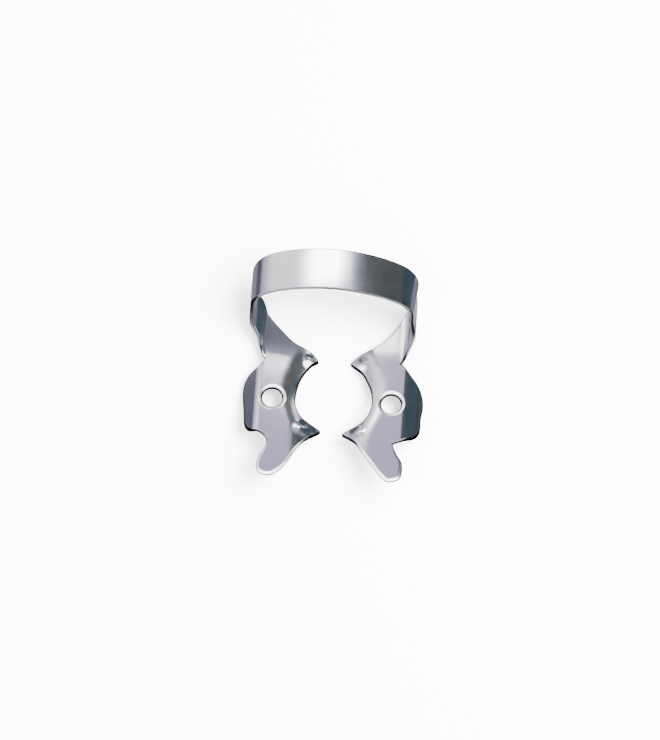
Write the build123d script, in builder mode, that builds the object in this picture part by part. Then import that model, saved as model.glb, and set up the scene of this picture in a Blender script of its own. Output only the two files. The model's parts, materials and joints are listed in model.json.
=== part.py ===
from build123d import *
from math import asin, cos, degrees, pi, radians, sin
import os

os.makedirs("parts", exist_ok=True)

# Rubber dam clamp, stamped and bent from one spring sheet, in millimetres.
# While it is worked out, the jaw plates lie in the XY plane, the bow rises at +Y and both holes
# are on the X axis. At the end it is tipped back onto its prongs and feet, the way it comes to rest.

# Sheet
sheet = 0.5
edge_break = 0.12         # the tumbled edges, kept as one flat each

# Bow, seen along Y
half_width = 10.1         # middle of the bow to the outside of a leg
bow_shift = -0.3          # the bow stands this far off the middle of the jaws
bow_height = 9.8          # jaw plate to the outside of the crown
leg_height = 4.9          # jaw plate to where a leg turns into its shoulder
shoulder_radius = 3.7     # outside of the shoulder
foot_radius = 1.6         # inside of the bend from jaw plate to leg

# Bow, seen from above: its mesial and distal edges, at the foot and at the crown
foot_mesial = 5.3
foot_distal = 10.9
crown_mesial = 10.1
crown_distal = 15.35
bow_skew = 0.035          # slope by which the crown is turned, its right side towards the jaws
skew_run = 7.0            # distance along the sheet from the foot to where that turn is full
bow_stations = 15         # sections from a foot to the crown, closest together at the foot
station_power = 1.5       # 1 would space them evenly

# Both edges along the sheet: (share of the way to the top, shares of the way from foot to crown edge)
edge_shares = [
    (0.0, -0.06, 0.0), (0.03, 0.06, 0.24), (0.056, 0.27, 0.37), (0.09, 0.47, 0.46), (0.14, 0.635, 0.505),
    (0.24, 0.76, 0.55), (0.345, 0.81, 0.645), (0.48, 0.845, 0.79), (0.61, 0.915, 0.9), (0.78, 0.97, 0.97),
    (1.0, 1.0, 1.0),
]

# The legs are drawn in unevenly and the right one is twisted, its distal edge outwards:
# (share of the way to the top, shares of leg_draw right and left, share of leg_twist right)
leg_draw = 0.5
leg_twist = 5
draw_shares = [
    (0.0, 0.0, 0.0, 0.0), (0.08, 0.1, 0.5, 0.0), (0.17, 0.5, -0.1, 0.0), (0.26, 0.8, -0.15, 0.6),
    (0.36, 0.6, 0.0, 1.0), (0.48, 0.1, 0.0, 0.4), (0.6, 0.0, 0.0, 0.0), (1.0, 0.0, 0.0, 0.0),
]

# Forceps holes
hole_inset = 1.3          # from the fold of the wing to the middle of the hole
hole_radius = 1.3
rim_width = 0.3
rim_depth = 0.14

# Fold of the wings
fold_past_foot = 0.45     # the fold starts this far outside the foot
fold_radius = 0.7
fold_angle = 46
wing_run = 3.4            # sheet left for the wing before its outline is cut

# Roll of the tooth side, which drops the prongs
roll_radius = 1.6
roll_angle = 33
roll_run = 6.5            # sheet left for the prongs before their outline is cut
roll_share = 0.7625       # start of the roll, as a share of the way out to the foot, level with the arc
roll_share_ends = 0.5375  # the same, beyond the prongs
roll_middle = 0.8         # where along Y the roll starts farthest out
roll_span = 6.8           # from there to where its start stays put
roll_stations = 10
wall_slope = 0.1          # below this, an upright part of a face's normal marks a wall of the outline

# Corners of the jaw outlines. A share is of the way from the middle out to the foot
distal_prong_share = 0.228
distal_prong_y = 5.6
waist_y = 5.2
corner_round = 0.25

right_prong_share = 0.152
right_prong_y = -3.55
right_waist = 0.35        # waist past the foot
right_wing_end = 0.15     # mesial end of the wing past the fold
right_wing_y = -4.9
right_notch = -0.85       # inner corner of the notch past the fold
right_notch_y = -5.3
right_tail_root = -0.45
right_tail_root_y = -6.2
right_tail_end = -1.55     # end of the tail past the fold
right_tail_y = -10.05

left_prong_share = 0.127
left_prong_y = -3.2
left_wing_end = 0.75
left_wing_y = -4.4
left_notch = -0.95
left_notch_y = -5.85
left_tail_root = -0.9
left_tail_root_y = -6.4
left_tail_end = -2.25
left_tail_y = -9.95

# Outline curves between two corners: (share along the chord, share of its length to its left)
right_neck_shares = [(0.16, -0.02), (0.35, -0.07), (0.55, -0.1), (0.74, -0.08), (0.88, -0.04)]
right_wing_shares = [
    (0.12, 0.1), (0.2, 0.18), (0.3, 0.23), (0.44, 0.25), (0.6, 0.23), (0.78, 0.22), (0.88, 0.17),
    (0.95, 0.08),
]
right_tail_shares = [
    (0.16, 0.17), (0.31, 0.33), (0.47, 0.4), (0.71, 0.44), (0.83, 0.42), (0.97, 0.26),
    (1.03, 0.12),
]
right_tail_inner_shares = [
    (0.15, 0.01), (0.31, 0.0), (0.47, -0.01), (0.62, -0.03), (0.76, -0.03), (0.91, -0.01),
]
left_neck_shares = [(0.09, 0.01), (0.24, -0.02), (0.43, -0.07), (0.61, -0.06), (0.79, -0.04)]
left_wing_shares = [
    (0.12, 0.064), (0.18, 0.143), (0.26, 0.2), (0.36, 0.22), (0.51, 0.208), (0.73, 0.164),
    (0.9, 0.122), (0.95, 0.091),
]
left_tail_shares = [
    (0.14, 0.16), (0.29, 0.32), (0.44, 0.43), (0.59, 0.5), (0.76, 0.51), (0.88, 0.44),
    (0.98, 0.32), (1.02, 0.18),
]
left_tail_inner_shares = [
    (0.1, 0.02), (0.22, 0.02), (0.35, 0.0), (0.47, -0.02), (0.6, -0.03), (0.73, -0.02),
    (0.87, 0.0),
]

# Arcs that hold the tooth, from prong to prong: (share along the chord, share of the way out to the foot)
right_arc_shares = [
    (0.069, 0.194), (0.123, 0.297), (0.199, 0.366), (0.297, 0.406), (0.406, 0.417), (0.507, 0.4),
    (0.609, 0.366), (0.702, 0.309), (0.817, 0.229), (0.913, 0.114),
]
left_arc_shares = [
    (0.049, 0.132), (0.1, 0.242), (0.164, 0.319), (0.25, 0.363), (0.379, 0.38), (0.49, 0.358),
    (0.624, 0.319), (0.749, 0.253), (0.866, 0.165), (0.944, 0.077),
]

# Rest: tipped back by this many degrees, onto the distal prongs and the feet
rest_tilt = 13.3

# Sizes that follow
overrun = 1.0
middle = sheet / 2
foot_start = half_width - sheet - foot_radius
fold_offset = foot_start + fold_past_foot
hole_offset = fold_offset - hole_inset
plate_low = min(right_tail_y, left_tail_y) - overrun
plate_high = foot_distal + overrun
press_depth = half_width

# Crown radius that meets the shoulder without a step
shoulder_x = half_width - shoulder_radius
crown_rise = bow_height - leg_height
crown_radius = (shoulder_x**2 + crown_rise**2 - shoulder_radius**2) / (2 * (crown_rise - shoulder_radius))
crown_centre = bow_height - crown_radius
blend_angle = 90 - degrees(asin(shoulder_x / (crown_radius - shoulder_radius)))


def on_circle(x, z, radius, angle):
    return (x + radius * cos(radians(angle)), z + radius * sin(radians(angle)))


def upright(point):
    """A point of the view along Y, placed in space."""
    return (point[0], 0, point[1])


def between(start, end, shares, side):
    """Points from one corner to the next, bent to the side by the shares, on the side of the jaw."""
    along = (end[0] - start[0], end[1] - start[1])
    bent = [(start[0] + a * along[0] - b * along[1], start[1] + a * along[1] + b * along[0]) for a, b in shares]
    return [(side * x, y) for x, y in [start, *bent, end]]


def hollow(start, end, shares, side):
    """Points from prong to prong, hollowed out towards the foot."""
    along = (end[0] - start[0], end[1] - start[1])
    inner = [(start[0] + a * along[0] + b * foot_start, start[1] + a * along[1]) for a, b in shares]
    return [(side * x, y) for x, y in [start, *inner, end]]


def follow(shares, share, column):
    """Value of a column of shares, on a smooth curve through its rows."""
    rows = [(row[0], row[column]) for row in shares]
    slopes = []
    for i in range(len(rows)):
        before, after = rows[max(i - 1, 0)], rows[min(i + 1, len(rows) - 1)]
        slopes.append((after[1] - before[1]) / (after[0] - before[0]))
    slopes[-1] = 0
    i = max(k for k in range(len(rows) - 1) if rows[k][0] <= share)
    gap = rows[i + 1][0] - rows[i][0]
    t = (share - rows[i][0]) / gap
    start = rows[i][1] * (1 + 2 * t) * (1 - t) ** 2 + slopes[i] * gap * t * (1 - t) ** 2
    return start + rows[i + 1][1] * t**2 * (3 - 2 * t) - slopes[i + 1] * gap * t**2 * (1 - t)


def roll_start(y):
    """Start of the roll at a place along Y."""
    share = min(abs(y - roll_middle) / roll_span, 1)
    return foot_start * (roll_share_ends + (roll_share - roll_share_ends) * cos(share * pi / 2) ** 2)


def jaw_line(side, start, depth):
    """The jaw's section line from wing to tooth side, at a depth under its top. Returns its two ends."""
    fold = fold_radius + sheet - depth
    roll = roll_radius + sheet - depth
    fold_z = -fold_radius - sheet
    roll_z = -roll_radius - sheet
    fold_mid = on_circle(fold_offset, fold_z, fold, 90 - fold_angle / 2)
    fold_end = on_circle(fold_offset, fold_z, fold, 90 - fold_angle)
    roll_mid = on_circle(start, roll_z, roll, 90 + roll_angle / 2)
    roll_end = on_circle(start, roll_z, roll, 90 + roll_angle)
    wing_end = on_circle(*fold_end, wing_run, -fold_angle)
    tooth_end = on_circle(*roll_end, roll_run, 180 + roll_angle)
    wing = [wing_end, fold_end, fold_mid, (fold_offset, -depth)]
    tooth = [(start, -depth), roll_mid, roll_end, tooth_end]
    points = [(side * x, z) for x, z in wing + tooth]
    Line(points[0], points[1])
    ThreePointArc(points[1], points[2], points[3])
    Line(points[3], points[4])
    ThreePointArc(points[4], points[5], points[6])
    Line(points[6], points[7])
    return points[0], points[7]


def jaw_sections(side):
    """Sections of one formed jaw along Y, before its outline is cut."""
    sections = []
    for station in range(roll_stations):
        y = plate_low + (plate_high - plate_low) * station / (roll_stations - 1)
        with BuildSketch(Plane.XZ.offset(-y)) as section:
            with BuildLine():
                wing_top, tooth_top = jaw_line(side, roll_start(y), 0)
                wing_under, tooth_under = jaw_line(side, roll_start(y), sheet)
                Line(wing_top, wing_under)
                Line(tooth_top, tooth_under)
            make_face()
        sections.append(section.sketch.face())
    return sections


def sheet_edges(jaw):
    """Edges where the outline's walls meet the two sides of the sheet, but for the wall under the foot."""
    walls = jaw.faces().filter_by(lambda face: abs(face.normal_at().Z) < wall_slope)
    foot = walls.filter_by(Axis.X).sort_by(SortBy.AREA)[-1]
    edges = (walls - [foot]).edges().filter_by(Axis.Z, reverse=True)
    return edges - foot.edges()


with BuildPart() as bow:
    # Middle of the sheet from the right foot to the top of the crown
    shoulder = shoulder_radius - middle
    crown = crown_radius - middle
    foot_end = (half_width - middle, foot_radius)
    shoulder_foot = (half_width - middle, leg_height)
    shoulder_end = on_circle(0, crown_centre, crown, blend_angle)
    with BuildLine(mode=Mode.PRIVATE) as half_bow:
        ThreePointArc(
            (foot_start, 0, -middle),
            upright(on_circle(foot_start, foot_radius, foot_radius + middle, -45)),
            upright(foot_end),
        )
        Line(upright(foot_end), upright(shoulder_foot))
        ThreePointArc(
            upright(shoulder_foot),
            upright(on_circle(shoulder_x, leg_height, shoulder, blend_angle / 2)),
            upright(shoulder_end),
        )
        ThreePointArc(
            upright(shoulder_end),
            upright(on_circle(0, crown_centre, crown, (90 + blend_angle) / 2)),
            upright((0, bow_height - middle)),
        )
    path = half_bow.wires()[0]
    for index in range(-bow_stations, bow_stations + 1):
        side = 1 if index <= 0 else -1
        share = (1 - abs(index) / bow_stations) ** station_power
        spot = path.position_at(share)
        heading = path.tangent_at(share)
        mesial = foot_mesial + (crown_mesial - foot_mesial) * follow(edge_shares, share, 1)
        distal = foot_distal + (crown_distal - foot_distal) * follow(edge_shares, share, 2)
        skew = bow_skew * side * spot.X * min(share * path.length / skew_run, 1)
        drawn = leg_draw * follow(draw_shares, share, 1 if side > 0 else 2)
        twist = leg_twist * follow(draw_shares, share, 3) if side > 0 else 0
        place = (side * (spot.X - drawn) + bow_shift, (mesial + distal) / 2 - skew, spot.Z)
        across = Plane(place, x_dir=(0, 1, 0), z_dir=(heading.X, 0, side * heading.Z))
        with BuildSketch(across.rotated((0, 0, -twist))) as section:
            Rectangle(distal - mesial, sheet)
            chamfer(section.vertices(), edge_break)
    loft()

right_foot = foot_start + bow_shift
left_foot = foot_start - bow_shift

with BuildPart() as right_jaw:
    loft(jaw_sections(1))
    prong = (distal_prong_share * foot_start, distal_prong_y)
    far_prong = (right_prong_share * foot_start, right_prong_y)
    waist = (foot_start + right_waist, waist_y)
    wing_end = (fold_offset + right_wing_end, right_wing_y)
    notch = (fold_offset + right_notch, right_notch_y)
    tail_root = (fold_offset + right_tail_root, right_tail_root_y)
    tail_end = (fold_offset + right_tail_end, right_tail_y)
    with BuildSketch(Plane.XY.offset(-press_depth)) as right_outline:
        with BuildLine():
            Spline(between(prong, (right_foot, foot_distal), right_neck_shares, 1))
            Polyline((right_foot, foot_distal), (right_foot, foot_mesial), waist)
            Spline(between(waist, wing_end, right_wing_shares, 1))
            Polyline(wing_end, notch, tail_root)
            Spline(between(tail_root, tail_end, right_tail_shares, 1))
            Spline(between(tail_end, far_prong, right_tail_inner_shares, 1))
            Spline(hollow(far_prong, prong, right_arc_shares, 1))
        make_face()
        at_foot = right_outline.vertices().filter_by_position(Axis.X, right_foot - middle, right_foot + middle)
        fillet(right_outline.vertices() - at_foot, corner_round)
    extrude(amount=press_depth + overrun, mode=Mode.INTERSECT)
    chamfer(sheet_edges(right_jaw), edge_break)

with BuildPart() as left_jaw:
    loft(jaw_sections(-1))
    far_prong = (left_prong_share * foot_start, left_prong_y)
    waist = (left_foot, waist_y)
    wing_end = (fold_offset + left_wing_end, left_wing_y)
    notch = (fold_offset + left_notch, left_notch_y)
    tail_root = (fold_offset + left_tail_root, left_tail_root_y)
    tail_end = (fold_offset + left_tail_end, left_tail_y)
    with BuildSketch(Plane.XY.offset(-press_depth)) as left_outline:
        with BuildLine():
            Spline(between(prong, (left_foot, foot_distal), left_neck_shares, -1))
            Line((-left_foot, foot_distal), (-left_foot, waist_y))
            Spline(between(waist, wing_end, left_wing_shares, -1))
            Spline((-wing_end[0], wing_end[1]), (-notch[0], notch[1]), (-tail_root[0], tail_root[1]))
            Spline(between(tail_root, tail_end, left_tail_shares, -1))
            Spline(between(tail_end, far_prong, left_tail_inner_shares, -1))
            Spline(hollow(far_prong, prong, left_arc_shares, -1))
        make_face()
        at_foot = left_outline.vertices().filter_by_position(Axis.X, -left_foot - middle, -left_foot + middle)
        fillet(left_outline.vertices() - at_foot, corner_round)
    extrude(amount=press_depth + overrun, mode=Mode.INTERSECT)
    chamfer(sheet_edges(left_jaw), edge_break)

with BuildPart() as formed:
    add(bow.part)
    add(right_jaw.part)
    add(left_jaw.part)
    with Locations((hole_offset, 0, 0), (-hole_offset, 0, 0)):
        Hole(hole_radius)
        # The rim of its mouth is a cone that reaches as far above the plate as below it
        Cone(hole_radius, hole_radius + 2 * rim_width, 2 * rim_depth, mode=Mode.SUBTRACT)

# Stand it on the table, with the middle of its base at the origin
tipped = Rot(-rest_tilt, 0, 0) * formed.part
reach = tipped.bounding_box()
with BuildPart() as clamp:
    add(Pos(-reach.center().X, -reach.center().Y, -reach.min.Z) * tipped)

clamp.part.label = "clamp"
export_step(clamp.part, "parts/clamp.step")
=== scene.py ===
"""Rubber dam clamp of polished spring steel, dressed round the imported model. Run as a script."""

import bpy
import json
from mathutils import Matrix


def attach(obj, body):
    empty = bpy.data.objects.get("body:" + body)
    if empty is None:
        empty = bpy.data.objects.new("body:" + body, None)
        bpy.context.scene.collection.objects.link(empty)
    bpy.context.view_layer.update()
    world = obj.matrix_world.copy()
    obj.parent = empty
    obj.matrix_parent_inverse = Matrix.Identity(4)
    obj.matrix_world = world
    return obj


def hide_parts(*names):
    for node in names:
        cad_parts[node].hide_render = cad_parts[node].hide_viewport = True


bl_info = {
    "name": "Rubber Dam Clamp",
    "version": (1, 0, 0),
    "blender": (4, 5, 0),
    "location": "3D View > Sidebar > Clamp",
    "description": "Builds a winged rubber dam clamp from its sheet sizes, with its steel and its studio",
    "category": "Object",
}

import json
from math import asin, atan2, cos, pi, radians, sin, tan
from types import SimpleNamespace

import bpy
import numpy as np
from bpy.props import FloatProperty, FloatVectorProperty, PointerProperty
from mathutils import Matrix, Vector
from mathutils.geometry import delaunay_2d_cdt

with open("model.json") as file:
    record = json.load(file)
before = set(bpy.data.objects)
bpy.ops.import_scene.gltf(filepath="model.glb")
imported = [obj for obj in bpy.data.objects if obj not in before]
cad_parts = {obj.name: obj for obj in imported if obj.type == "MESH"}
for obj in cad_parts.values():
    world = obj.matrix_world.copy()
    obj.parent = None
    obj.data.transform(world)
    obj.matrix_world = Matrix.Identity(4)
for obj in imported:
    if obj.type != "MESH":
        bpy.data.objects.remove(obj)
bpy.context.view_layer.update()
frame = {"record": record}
MM = 0.001

# Both edges of the bow along the sheet:
# (share of the way to the crown, shares of the way from the foot's edge to the crown's, near and far)
EDGE_SHARES = [
    (0.0, -0.06, 0.0), (0.03, 0.06, 0.24), (0.056, 0.27, 0.37), (0.09, 0.47, 0.46), (0.14, 0.635, 0.505),
    (0.24, 0.76, 0.55), (0.345, 0.81, 0.645), (0.48, 0.845, 0.79), (0.61, 0.915, 0.9), (0.78, 0.97, 0.97),
    (1.0, 1.0, 1.0),
]

# The legs are drawn in unevenly and the right one is twisted, its distal edge outwards:
# (share of the way to the crown, shares of leg_draw right and left, share of leg_twist right)
DRAW_SHARES = [
    (0.0, 0.0, 0.0, 0.0), (0.08, 0.1, 0.5, 0.0), (0.17, 0.5, -0.1, 0.0), (0.26, 0.8, -0.15, 0.6),
    (0.36, 0.6, 0.0, 1.0), (0.48, 0.1, 0.0, 0.4), (0.6, 0.0, 0.0, 0.0), (1.0, 0.0, 0.0, 0.0),
]

# Corners of each jaw's outline: (place across, place along). Across, the prongs and the tail's end are shares of
# the way out to the foot, the waist is in millimetres past the foot, and the others are past the fold
CORNERS = {
    1: {"prong": (0.228, 5.6), "far_prong": (0.152, -3.55), "waist": (0.35, 5.2), "wing_end": (0.15, -4.9),
        "notch": (-0.85, -5.3), "tail_root": (-0.45, -6.2), "tail_end": (0.8625, -10.05)},
    -1: {"prong": (0.228, 5.6), "far_prong": (0.127, -3.2), "waist": (0.3, 5.2), "wing_end": (0.75, -4.4),
         "notch": (-0.95, -5.85), "tail_root": (-0.9, -6.4), "tail_end": (0.775, -9.95)},
}

# Low domes at the roots of the prongs: (place across the jaw, along it, radius, rise)
DOMES = {
    1: [(3.4, 5.2, 1.0, 0.12), (3.3, -3.9, 1.1, 0.22)],
    -1: [(3.0, 5.3, 1.1, 0.32), (3.0, -3.8, 1.6, 0.4)],
}

# Places where the edge of the bow is widened and painted bright as a highlight: (across the blank, along it, radius)
HIGHLIGHT_SPOTS = [(5.9, 9.58, 0.7), (8.5, 9.18, 0.7), (-18.5, 5.5, 1.4)]

# Curves between two corners: (share along the chord, share of its length to its left)
CURVES = {
    1: {
        "neck": [(0.16, -0.02), (0.35, -0.07), (0.55, -0.1), (0.74, -0.08), (0.88, -0.04)],
        "wing": [(0.12, 0.1), (0.2, 0.18), (0.3, 0.23), (0.44, 0.25), (0.6, 0.23), (0.78, 0.22), (0.88, 0.17),
                 (0.95, 0.08)],
        "tail": [(0.16, 0.17), (0.31, 0.33), (0.47, 0.4), (0.71, 0.44), (0.83, 0.42), (0.97, 0.26), (1.03, 0.12)],
        "tail_inner": [(0.15, 0.01), (0.31, 0.0), (0.47, -0.01), (0.62, -0.03), (0.76, -0.03), (0.91, -0.01)],
        "arc": [(0.069, 0.194), (0.123, 0.297), (0.199, 0.366), (0.297, 0.406), (0.406, 0.417), (0.507, 0.4),
                (0.609, 0.366), (0.702, 0.309), (0.817, 0.229), (0.913, 0.114)],
    },
    -1: {
        "neck": [(0.09, 0.01), (0.24, -0.02), (0.43, -0.07), (0.61, -0.06), (0.79, -0.04)],
        "wing": [(0.12, 0.064), (0.18, 0.143), (0.26, 0.2), (0.36, 0.22), (0.51, 0.208), (0.73, 0.164), (0.9, 0.122),
                 (0.95, 0.091)],
        "tail": [(0.14, 0.16), (0.29, 0.32), (0.44, 0.43), (0.59, 0.5), (0.76, 0.51), (0.88, 0.44), (0.98, 0.32),
                 (1.02, 0.18)],
        "tail_inner": [(0.1, 0.02), (0.22, 0.02), (0.35, 0.0), (0.47, -0.02), (0.6, -0.03), (0.73, -0.02), (0.87, 0.0)],
        "arc": [(0.049, 0.132), (0.1, 0.242), (0.164, 0.319), (0.25, 0.363), (0.379, 0.38), (0.49, 0.358),
                (0.624, 0.319), (0.749, 0.253), (0.866, 0.165), (0.944, 0.077)],
    },
}

# Points of the mesh, in millimetres or as shares of the mesh step
CURVE_STEP = 0.02  # between the points of a curve, before the outline is spaced evenly
SHARE_STEPS, BOW_STEPS = 200, 400  # places along the sheet where the shares above are worked out
TINY = 1e-6  # below this, two points count as one
CORNER_POINTS, HOLE_POINTS = 14, 72
RIM_INSIDE = 0.999  # share of a rim's radius within which a triangle lies in the hole
CORNER_CUT = 0.6  # the most that the rounding of a corner takes from a curve
OUTLINE_SHARE = 0.45  # of the mesh step, between the points of the outline
BEND_SHARE = 0.55  # of the mesh step, between the lines of points in the bends
GRID_SHARE = 0.4  # of the mesh step, kept free between the inner points and the outline or a rim
GRID_SIDE, GRID_NEAR, GRID_FAR = 8, -11, 16.5  # past the foot, and along the blank, where the inner points end
FOLD_BACK, FOLD_REACH, FOOT_MARGIN = 0.4, 0.9, 0.1  # how far the closer lines reach round the fold and the foot
WAIST_START, WAIST_RUN = 0.15, 0.2  # where the bow's form takes over before the waist, and over what run
FLAT_BAND = 0.03  # inside each edge, which keeps the shading of the faces free of the edge's

# The edges, in millimetres or shares
# The tails' edges are wider, and painted bright partly as wear and partly as a highlight
TAIL_WEAR_AND_HIGHLIGHT, TAIL_WEAR_AND_HIGHLIGHT_RUN = -5.2, 1.6  # where the tails begin along the blank, and the way to their full wear
NARROWEST, ROUND_SHARE = 0.1, 0.5  # the least width, and the width as a share of a corner's own radius
WIDTH_REACH = 0.6  # how far along the outline a narrow place narrows its neighbours
BOW_ROUND_RUN = 1.5  # the way from the jaw's lower edges to the bow's rounder ones
RIM_SINK = 1.3  # depth of the rim's last row, as a share of rim_depth
# Painted shade: how dark the upright sides and the first row of each edge are painted
WALL_SHADE, BOW_EDGE_SHADE, TOP_SHADE = 0.5, 0.9, 0.35  # of the upright sides, and of the edge's first row

# Rows down a rounded edge, from its top to its upright side:
# (shares of its width and depth, brightness where worn and painted as a highlight, darkness of the painted shade there,
# darkness of the painted shade elsewhere)
EDGE_ROWS = [
    (0.1, 0.05, 1.0, 0.0, 0.7), (0.42, 0.32, 1.0, 0.0, 1.0), (0.74, 0.6, 0.8, 0.0, 1.0),
    (0.92, 0.82, 0.1, 0.8, 1.0), (1.0, 1.0, 0.0, 1.0, 1.0),
]
ROUND_ROWS = (pi / 2, 1.26, 0.94, 0.63, 0.31)  # angles of the rows round a lower edge

# Noises of the steel (scale, detail, roughness), and how two of them are stretched
LINES, CLOUDS, WAVES, SPECKS, STREAKS = (8, 3, 0.6), (260, 4, 0.55), (150, 1, 0.4), (2600, 2, 0.7), (1, 2, 0.6)
LINES_STRETCH, STREAKS_STRETCH = (900, 120, 300), (1100, 60, 60)
CLOUD_START, CLOUD_GAIN, CLOUD_SHARE = 0.45, 3, 0.5
STREAK_START, STREAK_GAIN, STREAK_SHARE = 0.49, 6, 0.8
LINE_GLOSS, CLOUD_GLOSS, WORN_GLOSS = 0.1, 0.14, 0.15  # roughness that each adds
FINE_BUMP, FINE_DEPTH = 0.06, 0.02  # strength, and depth in millimetres, of the rolling lines

# Where the streaks set in, in metres: across and up on the bow, and across on the right wing
BOW_STREAKS, HIGH_STREAKS, WING_STREAKS = (0.003, 0.006), (0.005, 0.007), (0.0085, 0.0092)

# Where the parts of the room meet: the axis, and the values between which one part turns into the next
ROOM = {
    "behind": ("y", (-0.1, 0.2)),
    "screen_left": ("x", (-0.9, -0.6)), "screen_right": ("x", (-0.4, -0.12)), "screen_near": ("y", (0.3, 0.5)),
    "dark": ("x", (0.0, 0.28)), "far_dark": ("x", (0.6, 0.85)), "unlit_side": ("x", (-0.4, 0.2)),
    "horizon": ("z", (-0.15, 0.05)), "low": ("z", (-0.6, -0.35)), "lowest": ("z", (-0.96, -0.87)),
    "low_back": ("y", (0.1, 0.3)),
}

# The floor's fibres: (scale, detail), strength, depth in millimetres, roughness
PAPER, PAPER_BUMP, PAPER_DEPTH, PAPER_ROUGHNESS = (900, 3), 0.04, 0.05, 0.85

# Lights, in metres. Each panel over the crown lies a little lower than the one before, so that all three add up
KEY_PLACE, KEY_SIZE = (0.15, 0.036, 0.258), 0.2
CROWN_MIRRORS = Vector((-0.03, 0.63, 0.78))  # direction that the crown mirrors towards the camera
CROWN_SHIFT = Vector((-0.0035, 0.0014, 0))
CROWN_PANELS = ((0.018, 0.022, 0.15), (0.0135, 0.021, 0.25), (0.009, 0.02, 0.6))  # width, reach, share of strength
CROWN_PANEL_HEIGHT = 0.0056
NECK_PANEL_SIZE = (0.0046, 0.0036)
NECK_PANEL_PLACE, NECK_PANEL_AIM = (5.2, 11.6, 6.5), (5.8, 8.4, 0)  # in millimetres, in the frame of the jaws

# The photograph: its size and the middle of the two holes in pixels, a pixel in millimetres, and the view's turn
PHOTO_SIZE, HOLES_MIDDLE, PIXEL = (660, 740), (331.65, 399.7), 0.12
VIEW_SIDE, VIEW_UP = radians(3.7), radians(64.5)
CAMERA_REACH, SENSOR_HEIGHT, CLIP = 1.5, 24, (0.1, 10)


def length(name, description, mm):
    return FloatProperty(name=name, description=description, default=mm * MM, unit="LENGTH", precision=5)


def angle(name, description, degrees):
    return FloatProperty(name=name, description=description, default=radians(degrees), subtype="ANGLE")


def colour(name, description, default):
    return FloatVectorProperty(
        name=name, description=description, default=default, subtype="COLOR", size=3, min=0, max=1
    )


def number(name, description, default):
    return FloatProperty(name=name, description=description, default=default, min=0)


class ClampShape(bpy.types.PropertyGroup):
    sheet: length("Sheet", "Thickness of the spring sheet", 0.5)
    edge_width: length("Edge width", "How far in from the outline the worn upper edge of the tails reaches", 0.36)
    edge_depth: length("Edge depth", "Depth of that worn edge", 0.19)
    bow_edge: length("Bow edge width", "The same along the bow and the tooth sides, which are crisper", 0.14)
    under_round: length("Under edge", "Radius of the lower edges", 0.05)
    bow_round: length("Bow edge", "Radius of the outer edges of the bow", 0.11)
    corner_round: length("Corner rounding", "Radius of the corners of the jaw outlines", 0.25)
    half_width: length("Half width", "Middle of the bow to the outside of a leg", 10.1)
    bow_shift: length("Bow shift", "How far the bow stands off the middle of the jaws", -0.3)
    bow_height: length("Bow height", "Jaw plate to the outside of the crown", 9.8)
    leg_height: length("Leg height", "Jaw plate to where a leg turns into its shoulder", 4.9)
    shoulder_radius: length("Shoulder", "Outside radius of the shoulders", 3.7)
    foot_radius: length("Foot bend", "Inside radius of the bend from plate to leg", 1.6)
    foot_mesial: length("Foot mesial edge", "Near edge of the bow at the foot", 5.3)
    foot_distal: length("Foot distal edge", "Far edge of the bow at the foot", 10.9)
    crown_mesial: length("Crown mesial edge", "Near edge of the bow at the crown", 10.1)
    crown_distal: length("Crown distal edge", "Far edge of the bow at the crown", 15.35)
    bow_skew: FloatProperty(name="Bow skew", description="Slope by which the crown is turned", default=0.035)
    skew_run: length("Skew run", "Distance from the foot to where that turn is full", 7.0)
    leg_draw: length("Leg draw", "How far the legs are drawn in where they are most", 0.5)
    leg_twist: angle("Leg twist", "Twist of the right leg, its far edge outwards", 5)
    hole_inset: length("Hole inset", "From the fold of the wing to the middle of the hole", 1.3)
    hole_radius: length("Hole radius", "Radius of the forceps holes", 1.3)
    hole_taper: length("Hole taper", "How much narrower the holes are where the punch left them", 0.12)
    rim_width: length("Rim width", "Width of the worn rim round each hole", 0.4)
    rim_depth: length("Rim depth", "Depth of that rim", 0.14)
    fold_past_foot: length("Fold place", "Where the wing's fold starts outside the foot", 0.45)
    fold_radius: length("Fold radius", "Inside radius of the wing's fold", 0.7)
    fold_angle: angle("Fold angle", "How far the wings are folded down", 46)
    roll_radius: length("Roll radius", "Inside radius of the roll of the tooth side", 1.6)
    roll_ease: length("Roll ease", "How much softer the roll is than its tightest bend", 2.4)
    roll_angle: angle("Roll angle", "How far the tooth side is rolled down", 33)
    roll_share: number("Roll start", "Share of the way to the foot, level with the arc", 0.7625)
    roll_share_ends: number("Roll start at the ends", "The same, beyond the prongs", 0.5375)
    roll_middle: length("Roll middle", "Where along the jaw the roll starts farthest out", 0.8)
    roll_span: length("Roll span", "From there to where its start stays put", 6.8)
    rest_tilt: angle("Rest tilt", "How far the clamp is tipped back as it rests", 13.3)
    mesh_step: length("Mesh step", "Distance between the points of the mesh", 0.15)


class SteelLook(bpy.types.PropertyGroup):
    steel: colour("Steel", "Colour of the polished steel", (0.74, 0.74, 0.78))
    cloud: colour("Cloudy steel", "Colour of the cloudy patches of the polish", (0.62, 0.62, 0.68))
    streak: colour("Streaks", "Colour of the faint brownish streaks at the right", (0.74, 0.48, 0.38))
    # The white colour below is partly wear and partly a painted highlight, on the tails' edges, the holes' rims and
    # spots along the bow's edge
    worn: colour("Worn edge", "Colour of the bright worn edges and rims", (1.0, 1.0, 1.0))
    # The near black cut colour below is painted shade on the upright sides, the edges' rows and the holes' walls
    cut: colour("Cut edge", "Colour of the dark upright sides that the punch left", (0.02, 0.02, 0.03))
    roughness: FloatProperty(name="Roughness", description="Gloss of the polished faces", default=0.2, min=0, max=1)
    wave_depth: length("Wave depth", "Depth of the slow waves that barrel polishing leaves in the faces", 0.035)


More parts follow.
